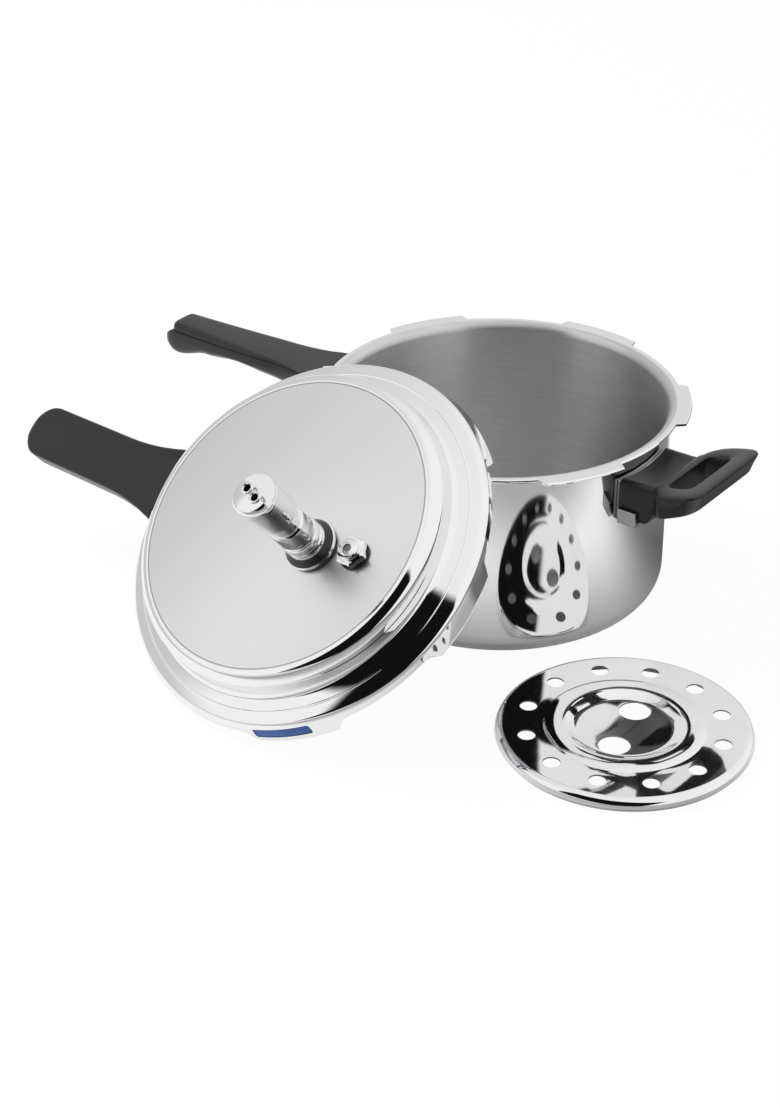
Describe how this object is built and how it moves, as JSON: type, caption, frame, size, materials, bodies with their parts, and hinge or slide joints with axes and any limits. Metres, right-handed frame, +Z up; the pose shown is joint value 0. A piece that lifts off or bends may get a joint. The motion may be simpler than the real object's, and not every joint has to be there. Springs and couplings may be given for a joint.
{
  "type": "pressure cooker",
  "caption": "Stovetop pressure cooker of polished steel with a lugged outer lid leaning open on the rim, a vent weight, bakelite handles and a loose perforated separator plate.",
  "frame": {"origin": "on the floor under the centre of the pot", "axes": "+Z up; +X from the pot towards the helper handle, the long pot handle along -X; the lid leans on the -Y side"},
  "size_m": [0.5488, 0.3817, 0.178],
  "materials": {
    "polished_steel": "mirror-polished stainless steel; satin inside the pot",
    "satin_steel": "satin stainless steel",
    "core_aluminium": "plain rolled sheet",
    "bakelite": "black moulded phenolic, satin",
    "blue_silicone": "matte blue silicone",
    "seal_rubber": "matte black rubber",
    "fusible_alloy": null
  },
  "bodies": {
    "pot": {"pot_body": "polished_steel", "base_cap": "satin_steel", "heat_core": "core_aluminium", "helper_bracket": "polished_steel", "helper_handle": "bakelite", "helper_screw": "satin_steel", "pot_handle_bracket": "polished_steel", "pot_handle": "bakelite", "pot_handle_screw": "satin_steel"},
    "lid": {"lid_shell": "polished_steel", "gasket": "blue_silicone", "vent_tube": "polished_steel", "vent_washer": "seal_rubber", "vent_nut": "satin_steel", "safety_plug": "polished_steel", "safety_fuse": "fusible_alloy", "safety_washer": "seal_rubber", "safety_nut": "satin_steel", "lid_handle_bracket": "polished_steel", "lid_handle": "bakelite", "lid_handle_screw": "satin_steel"},
    "weight": {"weight_body": "polished_steel", "weight_collar": "satin_steel", "weight_pin": "satin_steel"},
    "separator": {"separator_plate": "polished_steel"}
  },
  "joints": [
    {"name": "lid_lift", "type": "slide", "parent": "pot", "child": "lid", "axis": [0, 0, 1], "range_m": [0, 0.2]},
    {"name": "weight_lift", "type": "slide", "parent": "lid", "child": "weight", "axis": [-0.0817, -0.647, 0.7581], "range_m": [0, 0.03]},
    {"name": "separator_lift", "type": "slide", "parent": "pot", "child": "separator", "axis": [0, 0, 1], "range_m": [0, 0.08]}
  ]
}
